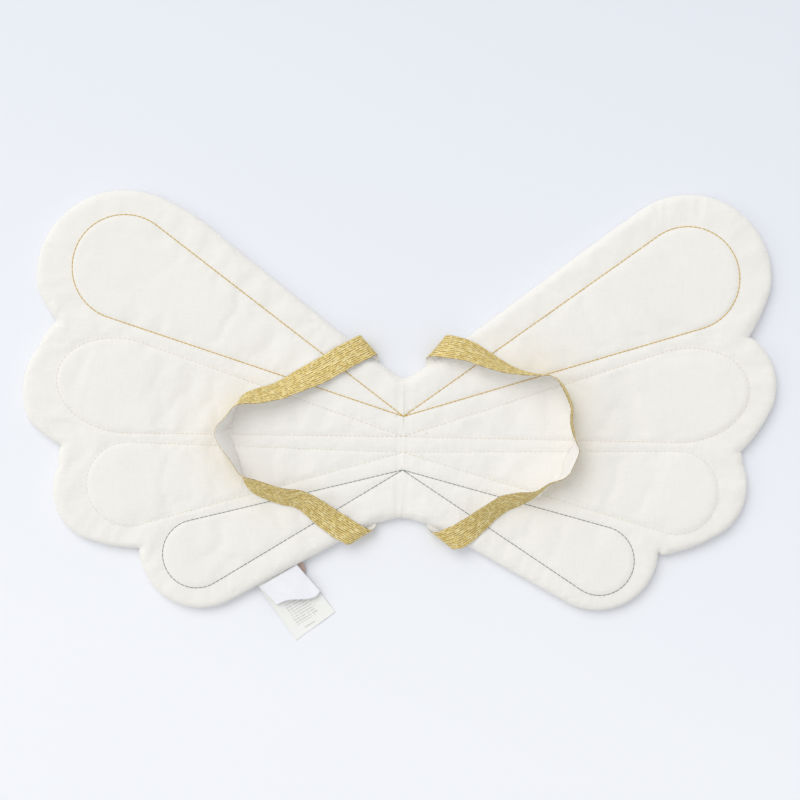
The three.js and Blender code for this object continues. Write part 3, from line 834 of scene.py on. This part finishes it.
def care_material():
    """A thin off-white label printed with plain grey bars, broken here and there, and one short bar."""
    s = Shader("label_cream", 0.7, Specular_IOR_Level=0.3)
    turned = math.radians(3.5)
    print_place = s.add("ShaderNodeSeparateXYZ", {"Vector": s.scaled(1 / MM, 1 / MM, turned)})
    along, across = print_place.outputs["X"], print_place.outputs["Y"]

    def between(value, low, high):
        inputs = {0: value, 1: (low + high) / 2, 2: (high - low) / 2}
        return s.add("ShaderNodeMath", inputs, operation="COMPARE").outputs[0]

    line = s.math("DIVIDE", along, 2.3)
    chance = s.add("ShaderNodeTexWhiteNoise", {"W": s.math("FLOOR", line)}, noise_dimensions="1D")
    uneven = chance.outputs["Value"]
    gaps = s.math("GREATER_THAN", s.noise(1, s.scaled(60, 900, turned), 1), 0.4)
    bars = between(s.math("FRACT", line), 0.2, 0.72)
    for part in (
        between(along, 23, 42.5),
        s.math("GREATER_THAN", across, -9),
        s.math("LESS_THAN", across, s.math("ADD", 8.5, s.math("MULTIPLY", uneven, 3.5))),
        gaps,
    ):
        bars = s.math("MULTIPLY", bars, part)
    short = s.math("MULTIPLY", between(along, 46.2, 47.4), between(across, -5, 4.7))
    ink = s.math("MULTIPLY", s.math("ADD", bars, short), 0.7)
    paper = s.ramp(s.noise(60), (0.35, linear(246, 246, 240)), (0.65, linear(249, 249, 245)))
    printed = s.mix(ink, paper, linear(206, 205, 202))
    return s.finish(printed, s.bump(s.wave(900, s.scaled(1, 1), 0.5), 0.04))


def tan_material():
    """Tan woven tape."""
    s = Shader("label_tan", 0.75, Sheen_Weight=0.2)
    weave = s.woven(600, 0.8)
    colour = s.ramp(weave, (0.3, linear(168, 142, 130)), (0.8, linear(204, 182, 170)))
    return s.finish(colour, s.bump(weave, 0.12))


# ---- Scene ----
FLOOR_REACH = 4000
WORLD_STRENGTH = 0.69
SUN_STRENGTH = 1.1
SUN_SPREAD = math.radians(42)
SUN_FROM = (-0.5, 0.62, 1)
FILL_PLACE = (-2.4, 0, 1.6)
FILL_SIZE = 1.5
FILL_POWER = 6
CAMERA_HEIGHT = 1.6


def make_floor():
    """A pale matt floor with painted shade: its colour darkens a little towards the top."""
    s = Shader("backdrop", 0.85, Specular_IOR_Level=0.1)
    s.place = s.add("ShaderNodeTexCoord").outputs["Object"]
    # painted shade: the floor's colour turns darker towards the top, standing in for light falling off there
    fade = s.math("ADD", s.dot((0.35, 1.3, 0)), 0.4)
    colour = s.ramp(fade, (0.1, linear(245, 246, 250)), (0.95, linear(232, 235, 242)))
    material = s.finish(colour, s.bump(s.noise(40), 0.05))
    corners = np.array([(-1, -1, 0), (1, -1, 0), (1, 1, 0), (-1, 1, 0)]) * FLOOR_REACH
    floor = add_mesh("floor", corners, [[0, 1, 2, 3]], [material])


def add_light(name, kind, place):
    """A light at a place, turned to the middle of the scene."""
    data = bpy.data.lights.new(name, kind)
    light = bpy.data.objects.new(name, data)
    light.location = place
    light.rotation_euler = Vector(place).to_track_quat("Z", "Y").to_euler()
    bpy.context.scene.collection.objects.link(light)
    return data


def make_lights():
    """Soft light from all round, a broad window from the upper left, and a weak fill from the left."""
    world = bpy.data.worlds.new("studio")
    world.use_nodes = True
    background = world.node_tree.nodes["Background"]
    background.inputs["Color"].default_value = (0.97, 0.985, 1.0, 1)
    background.inputs["Strength"].default_value = WORLD_STRENGTH
    bpy.context.scene.world = world
    sun = add_light("window", "SUN", SUN_FROM)
    sun.energy, sun.angle = SUN_STRENGTH, SUN_SPREAD
    fill = add_light("fill", "AREA", FILL_PLACE)
    fill.shape, fill.size, fill.energy = "DISK", FILL_SIZE, FILL_POWER
    bpy.context.scene.view_settings.view_transform = "Standard"


def make_camera():
    """Straight above, turned one degree, 0.64 m across at the height of the seam."""
    data = bpy.data.cameras.new("camera")
    data.lens, data.sensor_width = 90, 36
    camera = bpy.data.objects.new("camera", data)
    camera.location = (-0.003, 0.032, CAMERA_HEIGHT + MIDDLE * MM)
    camera.rotation_euler = (0, 0, math.radians(1))
    bpy.context.scene.collection.objects.link(camera)
    bpy.context.scene.camera = camera


make_camera()
make_floor()
make_lights()

cotton = cotton_material()
threads = {
    "mustard": thread_material("mustard_thread", linear(223, 187, 74), linear(191, 151, 46)),
    "pink": thread_material("pink_thread", linear(246, 234, 222), linear(240, 222, 206)),
    "cream": thread_material("cream_thread", linear(244, 242, 224), linear(236, 233, 208)),
    "teal": thread_material("teal_thread", linear(140, 146, 140), linear(96, 106, 104)),
}
for number, side in enumerate(SIGN):
    wing = Wing(side, 100 * (number + 1))
    pad = make_pad(wing, cotton)
    puff(pad, wing)
    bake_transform(pad)
    layers = ("back_panel", "front_panel", "wadding")
    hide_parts(*(f"{layer}_{part}" for layer in layers for part in (side, "centre")))
    for name, material in threads.items():
        stitches = make_stitches(wing, name, material)
        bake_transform(stitches)
        nodes = (f"{name}_{face}_thread_{part}" for face in ("back", "front") for part in (side, "centre"))
        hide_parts(*nodes)

gold, reverse = gold_material(), reverse_material()
for side, sign in SIGN.items():
    strap, length = make_strap(side, [gold, reverse])
    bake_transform(strap)
    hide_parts(f"{side}_strap", f"{side}_strap_upper_end", f"{side}_strap_lower_end")

care_label = make_care_label(care_material())
satin_label = make_satin_label(satin_material())
tab = make_tab(tan_material())
seam = [tuple(label_point(s, 0.0, LABEL_SEAM[2]) * MM) for s in (1.0, 7.0)]
for piece in (care_label, tab):
    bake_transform(piece)
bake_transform(satin_label)
for piece, node, slot in (
    (care_label, "care_label", "label_cream"),
    (satin_label, "satin_label", "label_white"),
    (tab, "tan_tab", "label_tan"),
):
    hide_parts(node)
